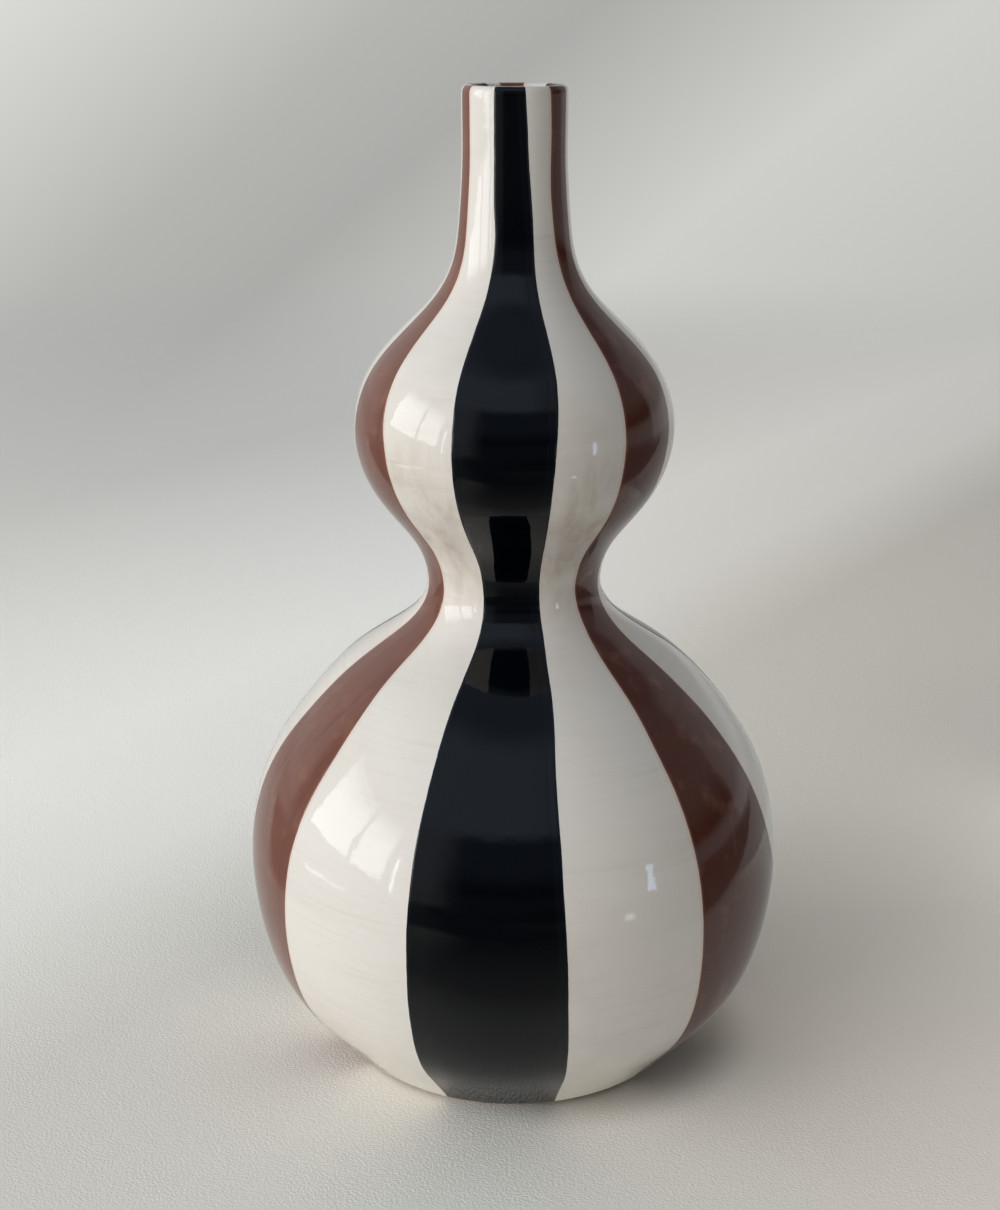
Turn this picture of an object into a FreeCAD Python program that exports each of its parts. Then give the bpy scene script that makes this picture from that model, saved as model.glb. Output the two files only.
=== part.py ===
# Gourd vase: a hand-thrown double gourd in glazed stoneware, 240 mm tall
# +Z is up and the origin is the centre of the foot, on the table. Lengths are in millimetres.
# The front, with a black stripe nearly in the middle, faces -Y.
import FreeCAD, Part
import Sketcher
import math
import os
from collections import namedtuple

START, END, CENTRE = range(1, 4)
LEVEL_AXIS, UPRIGHT_AXIS = range(-1, -3, -1)
STRIPE_SETS = 3

Line = namedtuple("Line", "start finish")
Arc = namedtuple("Arc", "low high centre")
Side = namedtuple("Side", "low high low_point high_point")

DRIVING_SIZES = [
    ("foot_radius", 41.0, "outside of the foot where it meets the table"),
    ("foot_width", 7.5, "flat ring that the vase stands on"),
    ("foot_rounding", 0.8, "softened edges of the foot ring"),
    ("recess_depth", 4.0, "hollow under the vase, inside the foot ring"),
    ("belly_radius", 66.5, "clay of the lower bulb at its widest"),
    ("belly_height", 50.7, "table to the widest ring of the lower bulb"),
    ("belly_upper_arc", 65.2, "section radius of the lower bulb's shoulder"),
    ("waist_radius", 21.2, "clay at the narrow waist"),
    ("waist_lower_curve", 17.0, "section radius from the shoulder into the waist"),
    ("waist_upper_curve", 18.8, "section radius from the waist into the upper bulb"),
    ("crown_radius", 37.8, "clay of the upper bulb at its widest"),
    ("crown_lower_arc", 30.5, "section radius of the upper bulb's lower half"),
    ("crown_upper_arc", 28.4, "section radius of the upper bulb's upper half"),
    ("neck_radius", 12.0, "clay of the straight neck"),
    ("neck_curve", 39.5, "section radius from the upper bulb into the neck"),
    ("neck_length", 23.93, "straight stretch of the neck, below the rounded lip"),
    ("wall", 5.0, "clay of both bulbs and the waist"),
    ("neck_wall", 2.5, "clay of the straight neck"),
    ("bore_curve", 38.0, "section radius inside, from the upper bulb into the neck"),
    ("floor_thickness", 5.0, "clay of the floor over the recess"),
    ("floor_curve", 12.0, "section radius inside, from the floor into the wall"),
    ("seam", 0.8, "layer of slip in each luted joint"),
    ("neck_joint_rise", 31.0, "widest ring of the upper bulb up to the neck's joint"),
    ("glaze", 0.5, "thickness of every glaze"),
    ("glaze_line", 1.5, "table to the lower edge of the glaze, above a dry foot"),
    ("glaze_turn_in", 8.0, "how far the striped glaze runs down inside the mouth"),
    ("wiped_ring", 1.5, "dry ring between the foot and the glaze in the recess"),
]

DRIVING_ANGLES = [
    ("black_angle", 35.0, "width of a black stripe"),
    ("brown_angle", 28.0, "width of a brown stripe"),
    ("first_black_turn", -93.5, "direction of the front black stripe's middle, from +X"),
]


class Size:
    """A number together with the sheet formula that gives it."""

    def __init__(self, value, formula):
        self.value = value
        self.formula = formula

    def __add__(self, other):
        return Size(self.value + other.value, f"({self.formula} + {other.formula})")

    def __sub__(self, other):
        return Size(self.value - other.value, f"({self.formula} - {other.formula})")

    def __truediv__(self, other):
        return Size(self.value / other.value, f"({self.formula} / {other.formula})")

    def half(self):
        return Size(self.value / 2, f"({self.formula} / 2)")

    def squared(self):
        return Size(self.value ** 2, f"({self.formula} ^ 2)")

    def root(self):
        return Size(math.sqrt(self.value), f"sqrt({self.formula})")


NO_OFFSET = Size(0, "0")


class Round:
    """A circle that a stretch of the outline follows; a hollow round has its centre outside."""

    def __init__(self, x, z, radius, hollow):
        self.x = x
        self.z = z
        self.radius = radius
        self.hollow = hollow

    def moved(self, offset):
        radius = self.radius - offset if self.hollow else self.radius + offset
        return Round(self.x, self.z, radius, self.hollow)

    def turning_point(self):
        reach = -self.radius.value if self.hollow else self.radius.value
        return (self.x.value + reach, self.z.value)

    def point_at(self, height):
        rise = height - self.z.value
        reach = math.sqrt(self.radius.value ** 2 - rise ** 2)
        return (self.x.value + (-reach if self.hollow else reach), height)

    def meeting_point(self, other):
        share = self.radius.value / (self.radius.value + other.radius.value)
        x = self.x.value + share * (other.x.value - self.x.value)
        z = self.z.value + share * (other.z.value - self.z.value)
        return (x, z)

    def angle_of(self, point):
        angle = math.atan2(point[1] - self.z.value, point[0] - self.x.value)
        return angle % (2 * math.pi) if self.hollow else angle


def touching_height(below, x, radius):
    """Height of the centre of a round that stands on the one below and just touches it."""
    return below.z + ((below.radius + radius).squared() - (x - below.x).squared()).root()


def make_sheet(doc):
    sheet = doc.addObject("Spreadsheet::Sheet", "Sizes")
    for row, (alias, number, note) in enumerate(DRIVING_SIZES + DRIVING_ANGLES, start=1):
        sheet.set(f"A{row}", note)
        sheet.set(f"B{row}", str(number))
        sheet.setAlias(f"B{row}", alias)
    doc.recompute()
    return {
        alias: Size(float(sheet.get(alias)), f"Sizes.{alias}")
        for alias, number, note in DRIVING_SIZES + DRIVING_ANGLES
    }


def outer_rounds(size):
    """The clay's outside from the foot to the neck, as rounds that touch in turn.

    A lower and an upper round share one centre height and meet at the ring between them.
    """
    inset = size["belly_radius"] - size["foot_radius"]
    lower_arc = (inset.squared() + size["belly_height"].squared()) / (inset + inset)
    height = size["belly_height"]
    belly_lower = Round(size["belly_radius"] - lower_arc, height, lower_arc, False)
    arc = size["belly_upper_arc"]
    belly_upper = Round(size["belly_radius"] - arc, height, arc, False)

    arc = size["waist_lower_curve"]
    x = size["waist_radius"] + arc
    height = touching_height(belly_upper, x, arc)
    waist_lower = Round(x, height, arc, True)
    arc = size["waist_upper_curve"]
    waist_upper = Round(size["waist_radius"] + arc, height, arc, True)

    arc = size["crown_lower_arc"]
    x = size["crown_radius"] - arc
    height = touching_height(waist_upper, x, arc)
    crown_lower = Round(x, height, arc, False)
    arc = size["crown_upper_arc"]
    crown_upper = Round(size["crown_radius"] - arc, height, arc, False)

    arc = size["neck_curve"]
    x = size["neck_radius"] + arc
    neck = Round(x, touching_height(crown_upper, x, arc), arc, True)
    return {
        "belly_lower": belly_lower,
        "belly_upper": belly_upper,
        "waist_lower": waist_lower,
        "waist_upper": waist_upper,
        "crown_lower": crown_lower,
        "crown_upper": crown_upper,
        "neck": neck,
    }


def inner_rounds(size):
    """The clay's inside: the bulbs keep their wall, and the neck has a curve of its own."""
    rounds = moved(outer_rounds(size), NO_OFFSET - size["wall"])
    arc = size["bore_curve"]
    x = size["neck_radius"] - size["neck_wall"] + arc
    rounds["neck"] = Round(x, touching_height(rounds["crown_upper"], x, arc), arc, True)
    return rounds


def moved(rounds, offset):
    """The rounds after the surface that they make has moved outwards by offset."""
    return {name: item.moved(offset) for name, item in rounds.items()}


class Section:
    """Half of a piece's section, drawn in the body's own XZ plane and turned about the axis."""

    def __init__(self, doc, name):
        self.doc = doc
        self.body = doc.addObject("PartDesign::Body", name)
        self.body.Label = name
        self.sketch = self.body.newObject("Sketcher::SketchObject", f"{name}_section")
        planes = [item for item in self.body.Origin.OriginFeatures if item.Role == "XZ_Plane"]
        self.sketch.AttachmentSupport = [(planes[0], "")]
        self.sketch.MapMode = "FlatFace"

    def constrain(self, *parts):
        return self.sketch.addConstraint(Sketcher.Constraint(*parts))

    def bind(self, size, *parts):
        index = self.constrain(*parts, size.value)
        self.sketch.setExpression(f"Constraints[{index}]", size.formula)

    def bind_x(self, end, size):
        self.bind(size, "DistanceX", LEVEL_AXIS, START, *end)

    def bind_z(self, end, size):
        self.bind(size, "DistanceY", LEVEL_AXIS, START, *end)

    def bind_rise(self, lower, upper, size):
        self.bind(size, "DistanceY", *lower, *upper)

    def join(self, one, other):
        self.constrain("Coincident", *one, *other)

    def touch(self, one, other):
        self.constrain("Tangent", *one, *other)

    def level(self, one, other):
        self.constrain("Horizontal", *one, *other)

    def line(self, start, finish, *rules):
        """Draws a line and gives its ends, each an edge number and a point number."""
        points = [FreeCAD.Vector(x, z, 0) for x, z in (start, finish)]
        index = self.sketch.addGeometry(Part.LineSegment(*points), False)
        for rule in rules:
            self.constrain(rule, index)
        return Line((index, START), (index, END))

    def flat(self, start, finish):
        return self.line(start, finish, "Horizontal")

    def upright(self, start, finish):
        return self.line(start, finish, "Vertical")

    def arc(self, item, low, high):
        """Draws a stretch of a round and gives its low end, high end and centre."""
        circle = Part.Circle()
        circle.Center = FreeCAD.Vector(item.x.value, item.z.value, 0)
        circle.Radius = item.radius.value
        angles = [item.angle_of(low), item.angle_of(high)]
        if item.hollow:
            angles.reverse()
        index = self.sketch.addGeometry(Part.ArcOfCircle(circle, *angles), False)
        self.bind(item.radius, "Radius", index)
        ends = [(index, START), (index, END)]
        if item.hollow:
            ends.reverse()
        return Arc(*ends, (index, CENTRE))

    def climb(self, rounds, first, last, low, high):
        """Draws the rounds from first to last, joined smoothly, from point low to point high.

        Gives the first and the last arc. Two rounds with one centre height meet at a ring.
        """
        names = list(rounds)
        chosen = [rounds[name] for name in names[names.index(first):names.index(last) + 1]]
        arcs = []
        begin = low
        below = None
        for item, above in zip(chosen, chosen[1:] + [None]):
            meets_ring = above is not None and above.z is item.z
            if above is None:
                finish = high
            elif meets_ring:
                finish = item.turning_point()
            else:
                finish = item.meeting_point(above)
            arc = self.arc(item, begin, finish)
            if below is None:
                self.bind_x(arc.centre, item.x)
                self.bind_z(arc.centre, item.z)
            elif below.z is item.z:
                self.join(arcs[-1].high, arc.low)
                self.level(arc.centre, arc.low)
            else:
                self.bind_x(arc.centre, item.x)
                self.touch(arcs[-1].high, arc.low)
            if meets_ring:
                self.level(arc.centre, arc.high)
            arcs.append(arc)
            begin = finish
            below = item
        return arcs[0], arcs[-1]

    def cap(self, one, other, start, finish):
        """Draws a straight line from one end to another."""
        closing = self.line(start, finish)
        self.join(one, closing.start)
        self.join(other, closing.finish)

    def close(self, outside, inside):
        """Joins the two sides of a wall across both of its rims."""
        self.cap(outside.low, inside.low, outside.low_point, inside.low_point)
        self.cap(outside.high, inside.high, outside.high_point, inside.high_point)

    def turn(self, angle=None):
        revolution = self.body.newObject("PartDesign::Revolution", f"{self.body.Name}_turned")
        revolution.Profile = self.sketch
        revolution.ReferenceAxis = (self.sketch, ["V_Axis"])
        if angle:
            revolution.setExpression("Angle", angle.formula)
        self.body.Tip = revolution
        return revolution


def make_lower_bulb(doc, size):
    """Foot ring, floor, belly and shoulder, thrown as one and cut level at the waist."""
    section = Section(doc, "lower_bulb")
    outside = outer_rounds(size)
    inside = inner_rounds(size)
    recess_radius = size["foot_radius"] - size["foot_width"]
    floor_height = size["recess_depth"] + size["floor_thickness"]
    joint_height = outside["waist_lower"].z.value - size["seam"].value / 2

    foot = (size["foot_radius"].value, 0)
    rim_out = outside["waist_lower"].point_at(joint_height)
    rim_in = inside["waist_lower"].point_at(joint_height)
    belly, shoulder = section.climb(outside, "belly_lower", "waist_lower", foot, rim_out)
    section.bind_rise(shoulder.high, shoulder.centre, size["seam"].half())

    curve = size["floor_curve"]
    floor, floor_turn, start = draw_floor(section, inside["belly_lower"], floor_height, curve)
    wall, throat = section.climb(inside, "belly_lower", "waist_lower", start, rim_in)
    section.touch(floor_turn, wall.low)
    section.bind_rise(throat.high, throat.centre, size["seam"].half())
    section.cap(shoulder.high, throat.high, rim_out, rim_in)

    corner_x = recess_radius.value
    corner_z = size["recess_depth"].value
    ceiling = section.flat((0, corner_z), (corner_x, corner_z))
    recess_wall = section.upright((corner_x, corner_z), (corner_x, 0))
    stand = section.flat((corner_x, 0), foot)
    axis = section.line((0, corner_z), (0, floor_height.value))
    section.join(ceiling.start, axis.start)
    section.join(ceiling.finish, recess_wall.start)
    section.join(recess_wall.finish, stand.start)
    section.join(stand.finish, belly.low)
    section.join(axis.finish, floor)
    section.constrain("PointOnObject", *ceiling.start, UPRIGHT_AXIS)
    section.bind_z(ceiling.finish, size["recess_depth"])
    section.bind_x(recess_wall.finish, recess_radius)
    section.constrain("PointOnObject", *stand.start, LEVEL_AXIS)
    base = section.turn()
    doc.recompute()

    ring = [
        f"Edge{number}" for number, edge in enumerate(base.Shape.Edges, start=1)
        if edge.BoundBox.ZMax < size["foot_rounding"].value
    ]
    softened = section.body.newObject("PartDesign::Fillet", "foot_edges")
    softened.Base = (base, ring)
    softened.setExpression("Radius", size["foot_rounding"].formula)
    section.body.Tip = softened
    return section.body


def draw_floor(section, wall, height, curve):
    """Draws the floor from the axis and its curve into the wall; gives both free ends."""
    centre_z = height + curve
    gap = wall.radius - curve
    centre_x = wall.x + (gap.squared() - (wall.z - centre_z).squared()).root()
    item = Round(centre_x, centre_z, curve, False)
    share = curve.value / gap.value
    meeting = (
        centre_x.value + share * (centre_x.value - wall.x.value),
        centre_z.value + share * (centre_z.value - wall.z.value),
    )
    floor = section.flat((0, height.value), (centre_x.value, height.value))
    bend = section.arc(item, (centre_x.value, height.value), meeting)
    section.constrain("PointOnObject", *floor.start, UPRIGHT_AXIS)
    section.bind_z(floor.finish, height)
    section.touch(floor.finish, bend.low)
    return floor.start, bend.high, meeting


def make_waist_seam(doc, size):
    """The slip that lutes the upper bulb to the lower one, at the narrowest ring."""
    section = Section(doc, "waist_luting_seam")
    reach = size["seam"].half()
    sides = []
    for rounds in (outer_rounds(size), inner_rounds(size)):
        low = rounds["waist_lower"].point_at((rounds["waist_lower"].z - reach).value)
        high = rounds["waist_upper"].point_at((rounds["waist_upper"].z + reach).value)
        below, above = section.climb(rounds, "waist_lower", "waist_upper", low, high)
        section.bind_rise(below.low, below.centre, reach)
        section.bind_rise(above.centre, above.high, reach)
        sides.append(Side(below.low, above.high, low, high))
    section.close(*sides)
    section.turn()
    return section.body


def neck_joint(size):
    """Heights of the neck joint's lower and upper faces."""
    middle = outer_rounds(size)["crown_lower"].z + size["neck_joint_rise"]
    return middle - size["seam"].half(), middle + size["seam"].half()


def make_upper_bulb(doc, size):
    """The smaller bulb, luted to the waist below and open for the neck above."""
    section = Section(doc, "upper_bulb")
    top, _ = neck_joint(size)
    reach = size["seam"].half()
    sides = []
    for rounds in (outer_rounds(size), inner_rounds(size)):
        waist = rounds["waist_upper"]
        low = waist.point_at((waist.z + reach).value)
        high = rounds["neck"].point_at(top.value)
        below, above = section.climb(rounds, "waist_upper", "neck", low, high)
        section.bind_rise(below.centre, below.low, reach)
        section.bind_z(above.high, top)
        sides.append(Side(below.low, above.high, low, high))
    section.close(*sides)
    section.turn()
    return section.body


def make_neck_seam(doc, size):
    """The slip that lutes the neck to the upper bulb."""
    section = Section(doc, "neck_luting_seam")
    bottom, top = neck_joint(size)
    sides = []
    for rounds in (outer_rounds(size), inner_rounds(size)):
        low = rounds["neck"].point_at(bottom.value)
        high = rounds["neck"].point_at(top.value)
        curve, _ = section.climb(rounds, "neck", "neck", low, high)
        section.bind_z(curve.low, bottom)
        section.bind_z(curve.high, top)
        sides.append(Side(curve.low, curve.high, low, high))
    section.close(*sides)
    section.turn()
    return section.body


def draw_lip(section, size, offset, neck_end, bore_end):
    """Draws the straight neck, the rounded lip and the bore over a surface moved by offset.

    neck_end is the top of the outer curve, and bore_end the height where the bore line ends.
    """
    outer_x = size["neck_radius"] + offset
    inner_x = size["neck_radius"] - size["neck_wall"] - offset
    radius = (outer_x - inner_x).half()
    base = outer_rounds(size)["neck"].z
    height = base + size["neck_length"]
    outside = section.upright((outer_x.value, base.value), (outer_x.value, height.value))
    inside = section.upright((inner_x.value, height.value), (inner_x.value, bore_end))
    circle = Part.Circle()
    circle.Center = FreeCAD.Vector((outer_x.value + inner_x.value) / 2, height.value, 0)
    circle.Radius = radius.value
    index = section.sketch.addGeometry(Part.ArcOfCircle(circle, 0, math.pi), False)
    section.join(neck_end, outside.start)
    section.touch(outside.finish, (index, START))
    section.touch((index, END), inside.start)
    section.bind_z((index, CENTRE), height)
    return inside.finish


def top_height(size):
    """Height of the lip's highest ring, over the glaze."""
    base = outer_rounds(size)["neck"].z
    return base + size["neck_length"] + size["neck_wall"].half() + size["glaze"]


def make_neck(doc, size):
    """The slender neck with its straight bore and thin rounded lip."""
    section = Section(doc, "neck")
    _, bottom = neck_joint(size)
    inside = inner_rounds(size)
    sides = []
    for rounds in (outer_rounds(size), inside):
        low = rounds["neck"].point_at(bottom.value)
        high = rounds["neck"].turning_point()
        curve, _ = section.climb(rounds, "neck", "neck", low, high)
        section.bind_z(curve.low, bottom)
        section.level(curve.centre, curve.high)
        sides.append(Side(curve.low, curve.high, low, high))
    outer, inner = sides
    bore = draw_lip(section, size, NO_OFFSET, outer.high, inside["neck"].z.value)
    section.join(bore, inner.high)
    section.cap(outer.low, inner.low, outer.low_point, inner.low_point)
    section.turn()
    return section.body


def make_inner_glaze(doc, size):
    """The glaze poured inside: one skin from the floor up to the stripes in the mouth."""
    section = Section(doc, "inner_glaze")
    top = top_height(size) - size["glaze_turn_in"]
    floor_height = size["recess_depth"] + size["floor_thickness"]
    clay = inner_rounds(size)
    surface = moved(clay, NO_OFFSET - size["glaze"])
    sides = []
    for rounds, offset in ((clay, NO_OFFSET), (surface, size["glaze"])):
        height = floor_height + offset
        curve = size["floor_curve"] - offset
        floor, floor_turn, start = draw_floor(section, rounds["belly_lower"], height, curve)
        x, base = rounds["neck"].turning_point()
        wall, throat = section.climb(rounds, "belly_lower", "neck", start, (x, base))
        section.touch(floor_turn, wall.low)
        section.level(throat.centre, throat.high)
        bore = section.upright((x, base), (x, top.value))
        section.join(throat.high, bore.start)
        section.bind_z(bore.finish, top)
        sides.append(Side(floor, bore.finish, (0, height.value), (x, top.value)))
    section.close(*sides)
    section.turn()
    return section.body


def make_underside_glaze(doc, size):
    """The disc of glaze in the recess, inside a ring that was wiped dry."""
    body = doc.addObject("PartDesign::Body", "underside_glaze")
    sketch = body.newObject("Sketcher::SketchObject", "underside_glaze_disc")
    planes = [item for item in body.Origin.OriginFeatures if item.Role == "XY_Plane"]
    sketch.AttachmentSupport = [(planes[0], "")]
    sketch.MapMode = "FlatFace"
    sketch.setExpression("AttachmentOffset.Base.z", (size["recess_depth"] - size["glaze"]).formula)
    radius = size["foot_radius"] - size["foot_width"] - size["wiped_ring"]
    circle = Part.Circle()
    circle.Radius = radius.value
    index = sketch.addGeometry(circle, False)
    sketch.addConstraint(Sketcher.Constraint("Coincident", index, CENTRE, LEVEL_AXIS, START))
    bound = sketch.addConstraint(Sketcher.Constraint("Radius", index, radius.value))
    sketch.setExpression(f"Constraints[{bound}]", radius.formula)
    pad = body.newObject("PartDesign::Pad", "underside_glaze_coat")
    pad.Profile = sketch
    pad.setExpression("Length", size["glaze"].formula)
    body.Tip = pad
    return body


def make_stripe(doc, size, name, angle, turn):
    """One coat of glaze from above the foot, up the outside and over the lip into the mouth."""
    section = Section(doc, name)
    line = size["glaze_line"]
    bottom = top_height(size) - size["glaze_turn_in"]
    clay = outer_rounds(size)
    surface = moved(clay, size["glaze"])
    sides = []
    for rounds, offset in ((clay, NO_OFFSET), (surface, size["glaze"])):
        low = rounds["belly_lower"].point_at(line.value)
        high = rounds["neck"].turning_point()
        belly, curve = section.climb(rounds, "belly_lower", "neck", low, high)
        section.bind_z(belly.low, line)
        section.level(curve.centre, curve.high)
        mouth = draw_lip(section, size, offset, curve.high, bottom.value)
        section.bind_z(mouth, bottom)
        bore_x = size["neck_radius"] - size["neck_wall"] - offset
        sides.append(Side(belly.low, mouth, low, (bore_x.value, bottom.value)))
    section.close(*sides)
    section.turn(angle)
    turned = FreeCAD.Rotation(FreeCAD.Vector(0, 0, 1), turn)
    section.body.Placement = FreeCAD.Placement(FreeCAD.Vector(0, 0, 0), turned)
    return section.body


def make_stripes(doc, size):
    """Black, cream, brown and cream stripes in turn, three times round the vase."""
    set_angle = 360 / STRIPE_SETS
    black = size["black_angle"]
    brown = size["brown_angle"]
    cream = (Size(set_angle, str(set_angle)) - black - brown).half()
    stripes = []
    for number in range(STRIPE_SETS):
        turn = size["first_black_turn"].value - black.value / 2 + number * set_angle
        coats = [
            (f"black_stripe_{number + 1}", black),
            (f"cream_stripe_{2 * number + 1}", cream),
            (f"brown_stripe_{number + 1}", brown),
            (f"cream_stripe_{2 * number + 2}", cream),
        ]
        for name, angle in coats:
            stripes.append(make_stripe(doc, size, name, angle, turn))
            turn += angle.value
    return stripes


def check(doc, bodies):
    """Stops if any object failed, or if a piece has no sound solid."""
    for item in doc.Objects:
        if "Invalid" in item.State or "Error" in item.State:
            raise RuntimeError(f"{item.Name} failed: {item.State}")
    for body in bodies:
        shape = body.Shape
        if shape.isNull() or not shape.isValid() or len(shape.Solids) != 1:
            raise RuntimeError(f"{body.Label} is not one sound solid")


def main():
    doc = FreeCAD.newDocument("GourdVase")
    size = make_sheet(doc)
    bodies = [
        make_lower_bulb(doc, size),
        make_waist_seam(doc, size),
        make_upper_bulb(doc, size),
        make_neck_seam(doc, size),
        make_neck(doc, size),
        make_inner_glaze(doc, size),
        make_underside_glaze(doc, size),
    ]
    bodies += make_stripes(doc, size)
    doc.recompute()
    check(doc, bodies)
    os.makedirs("parts", exist_ok=True)
    for body in bodies:
        body.Shape.exportStep(f"parts/{body.Label}.step")
        print(f"{body.Label}: {body.Shape.Volume / 1000:.3f} cm3")


main()
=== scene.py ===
# Gourd vase: thrown clay with striped glazes, on a plain pale floor
import bpy
import bmesh
import math
from mathutils import Matrix, Vector, noise


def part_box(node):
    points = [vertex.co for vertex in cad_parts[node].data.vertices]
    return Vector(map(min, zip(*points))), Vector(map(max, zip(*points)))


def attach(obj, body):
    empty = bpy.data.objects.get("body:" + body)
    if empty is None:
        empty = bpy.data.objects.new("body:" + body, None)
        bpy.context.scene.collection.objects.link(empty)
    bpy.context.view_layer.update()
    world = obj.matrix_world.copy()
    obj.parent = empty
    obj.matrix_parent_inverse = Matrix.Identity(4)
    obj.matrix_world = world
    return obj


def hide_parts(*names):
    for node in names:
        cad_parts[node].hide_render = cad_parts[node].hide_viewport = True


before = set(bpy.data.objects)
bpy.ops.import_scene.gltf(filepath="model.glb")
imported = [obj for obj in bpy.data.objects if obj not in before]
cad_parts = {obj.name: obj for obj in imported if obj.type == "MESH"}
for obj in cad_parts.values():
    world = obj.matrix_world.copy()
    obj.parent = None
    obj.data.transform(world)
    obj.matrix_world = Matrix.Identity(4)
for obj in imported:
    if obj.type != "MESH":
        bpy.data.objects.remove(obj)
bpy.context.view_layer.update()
print("frame loaded:", len(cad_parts), "nodes")

mm = 0.001
up = Vector((0, 0, 1))

outline = {
    "outside": [  # control points of the glazed outside, up from the foot: radius, height in mm
        (43.2, 0.6), (45.3, 3.2), (50.5, 9), (59.2, 18), (64.4, 30), (67.2, 46), (66.9, 62),
        (62.2, 78), (51.8, 92), (42.2, 103), (26.8, 112), (21.3, 119), (21.2, 126), (24.2, 134),
        (33.8, 144), (38.6, 155), (38.8, 166), (34.4, 177), (25.2, 186), (18.0, 193), (14.0, 201),
        (13.1, 211), (12.3, 222), (12.4, 232), (12.4, 237),
    ],
    "lip": [(12.4, 239.1), (11.6, 240.05), (10.1, 239.95), (9.1, 239.0), (9.0, 236.2), (9.0, 232)],
    "inside": [  # control points of the glazed inside, up from the middle of the floor
        (0, 9.5), (16, 9.5), (36, 9.5), (48, 13.5), (56, 25), (60.8, 42), (61.2, 58), (57.0, 75),
        (47.5, 89), (38.0, 100), (21.5, 109), (15.8, 117), (15.6, 127), (18.2, 137), (27.6, 146),
        (32.6, 156), (32.6, 166), (28.0, 177), (19.2, 185), (12.6, 193), (9.6, 202), (9.0, 212),
        (9.0, 222), (9.0, 232),
    ],
    "stepsPerSpan": 10,
    "coat": 0.5,  # clay to the highest glaze
    "crest": 10.7,  # radius of the lip's highest ring
    "tall": 240.0,
    "mouthAbove": 220,  # height over which a radius inside the crest is in the mouth
}


def drawnCurve(name, points):
    curve = bpy.data.curves.new(name, "CURVE")
    curve.dimensions = "3D"
    curve.resolution_u = outline["stepsPerSpan"]
    spline = curve.splines.new("NURBS")
    spline.points.add(len(points) - 1)
    for point, (radius, height) in zip(spline.points, points):
        point.co = (radius * mm, 0, height * mm, 1)
    spline.order_u = 4
    spline.use_endpoint_u = True
    holder = bpy.data.objects.new(name, curve)
    mesh = bpy.data.meshes.new_from_object(holder)
    line = [vertex.co.copy() for vertex in mesh.vertices]
    bpy.data.objects.remove(holder)
    bpy.data.curves.remove(curve)
    bpy.data.meshes.remove(mesh)
    return line


def pushed(line, distance):
    # moves a line square to itself, away from the clay where distance is positive
    moved = []
    for index, point in enumerate(line):
        before = line[max(index - 1, 0)]
        after = line[min(index + 1, len(line) - 1)]
        along = (after - before).normalized()
        moved.append(point + Vector((along.z, 0, -along.x)) * distance)
    return moved


def between(line, low, high):
    # the stretch of a rising line between two heights, with both ends exact
    kept = []
    for start, end in zip(line, line[1:]):
        for height in (low, high):
            if start.z < height <= end.z:
                kept.append(start.lerp(end, (height - start.z) / (end.z - start.z)))
        if low < end.z < high:
            kept.append(end.copy())
    return sorted(kept, key=lambda point: point.z)


def lengths(line):
    # mm along a line to each of its points
    total = [0.0]
    for start, end in zip(line, line[1:]):
        total.append(total[-1] + (end - start).length / mm)
    return total


def lineMesh(points, closed=False):
    bm = bmesh.new()
    verts = [bm.verts.new(point) for point in points]
    for start, end in zip(verts, verts[1:]):
        bm.edges.new((start, end))
    if closed:
        bm.edges.new((verts[-1], verts[0]))
    return bm


def makePiece(bm, name, material, replaced):
    mesh = bpy.data.meshes.new(name)
    bm.to_mesh(mesh)
    bm.free()
    mesh.shade_smooth()
    mesh.materials.append(material)
    piece = bpy.data.objects.new(name, mesh)
    bpy.context.scene.collection.objects.link(piece)
    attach(piece, "root")
    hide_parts(replaced)


glazedLine = drawnCurve("glazedLine", outline["outside"] + outline["lip"])
insideLine = drawnCurve("insideLine", outline["inside"])
clayLine = pushed(glazedLine, -outline["coat"] * mm)
print("outline drawn:", len(glazedLine), "points")


# Materials

def newMaterial(name, roughness, ior):
    material = bpy.data.materials.new(name)
    material.use_nodes = True
    shader = material.node_tree.nodes["Principled BSDF"]
    shader.inputs["Roughness"].default_value = roughness
    shader.inputs["IOR"].default_value = ior
    return material, material.node_tree, shader


def addNode(tree, kind, inputs=None, **settings):
    node = tree.nodes.new(kind)
    for name, value in settings.items():
        setattr(node, name, value)
    for key, value in (inputs or {}).items():
        if isinstance(value, bpy.types.NodeSocket):
            tree.links.new(value, node.inputs[key])
        else:
            node.inputs[key].default_value = value
    return node


def computed(tree, operation, first, second=0.0):
    return addNode(tree, "ShaderNodeMath", {0: first, 1: second}, operation=operation).outputs[0]


def plus(tree, first, second):
    return computed(tree, "ADD", first, second)


def minus(tree, first, second):
    return computed(tree, "SUBTRACT", first, second)


def times(tree, first, second):
    return computed(tree, "MULTIPLY", first, second)


def greater(tree, first, second):
    return computed(tree, "MAXIMUM", first, second)


def measured(tree, operation, vector, other=(0, 0, 0)):
    return addNode(tree, "ShaderNodeVectorMath", {0: vector, 1: other}, operation=operation).outputs["Value"]


def ramp(tree, value, low, high, start=0.0, end=1.0, blend="SMOOTHSTEP"):
    # turns a value smoothly from start to end between low and high
    inputs = {"Value": value, "From Min": low, "From Max": high, "To Min": start, "To Max": end}
    return addNode(tree, "ShaderNodeMapRange", inputs, interpolation_type=blend).outputs[0]


def mixed(tree, share, first, second, blend="MIX"):
    node = addNode(tree, "ShaderNodeMix", {0: share}, data_type="RGBA", blend_type=blend)
    for index, value in ((6, first), (7, second)):
        if isinstance(value, bpy.types.NodeSocket):
            tree.links.new(value, node.inputs[index])
        else:
            node.inputs[index].default_value = (*value, 1)
    return node.outputs[2]


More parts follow.
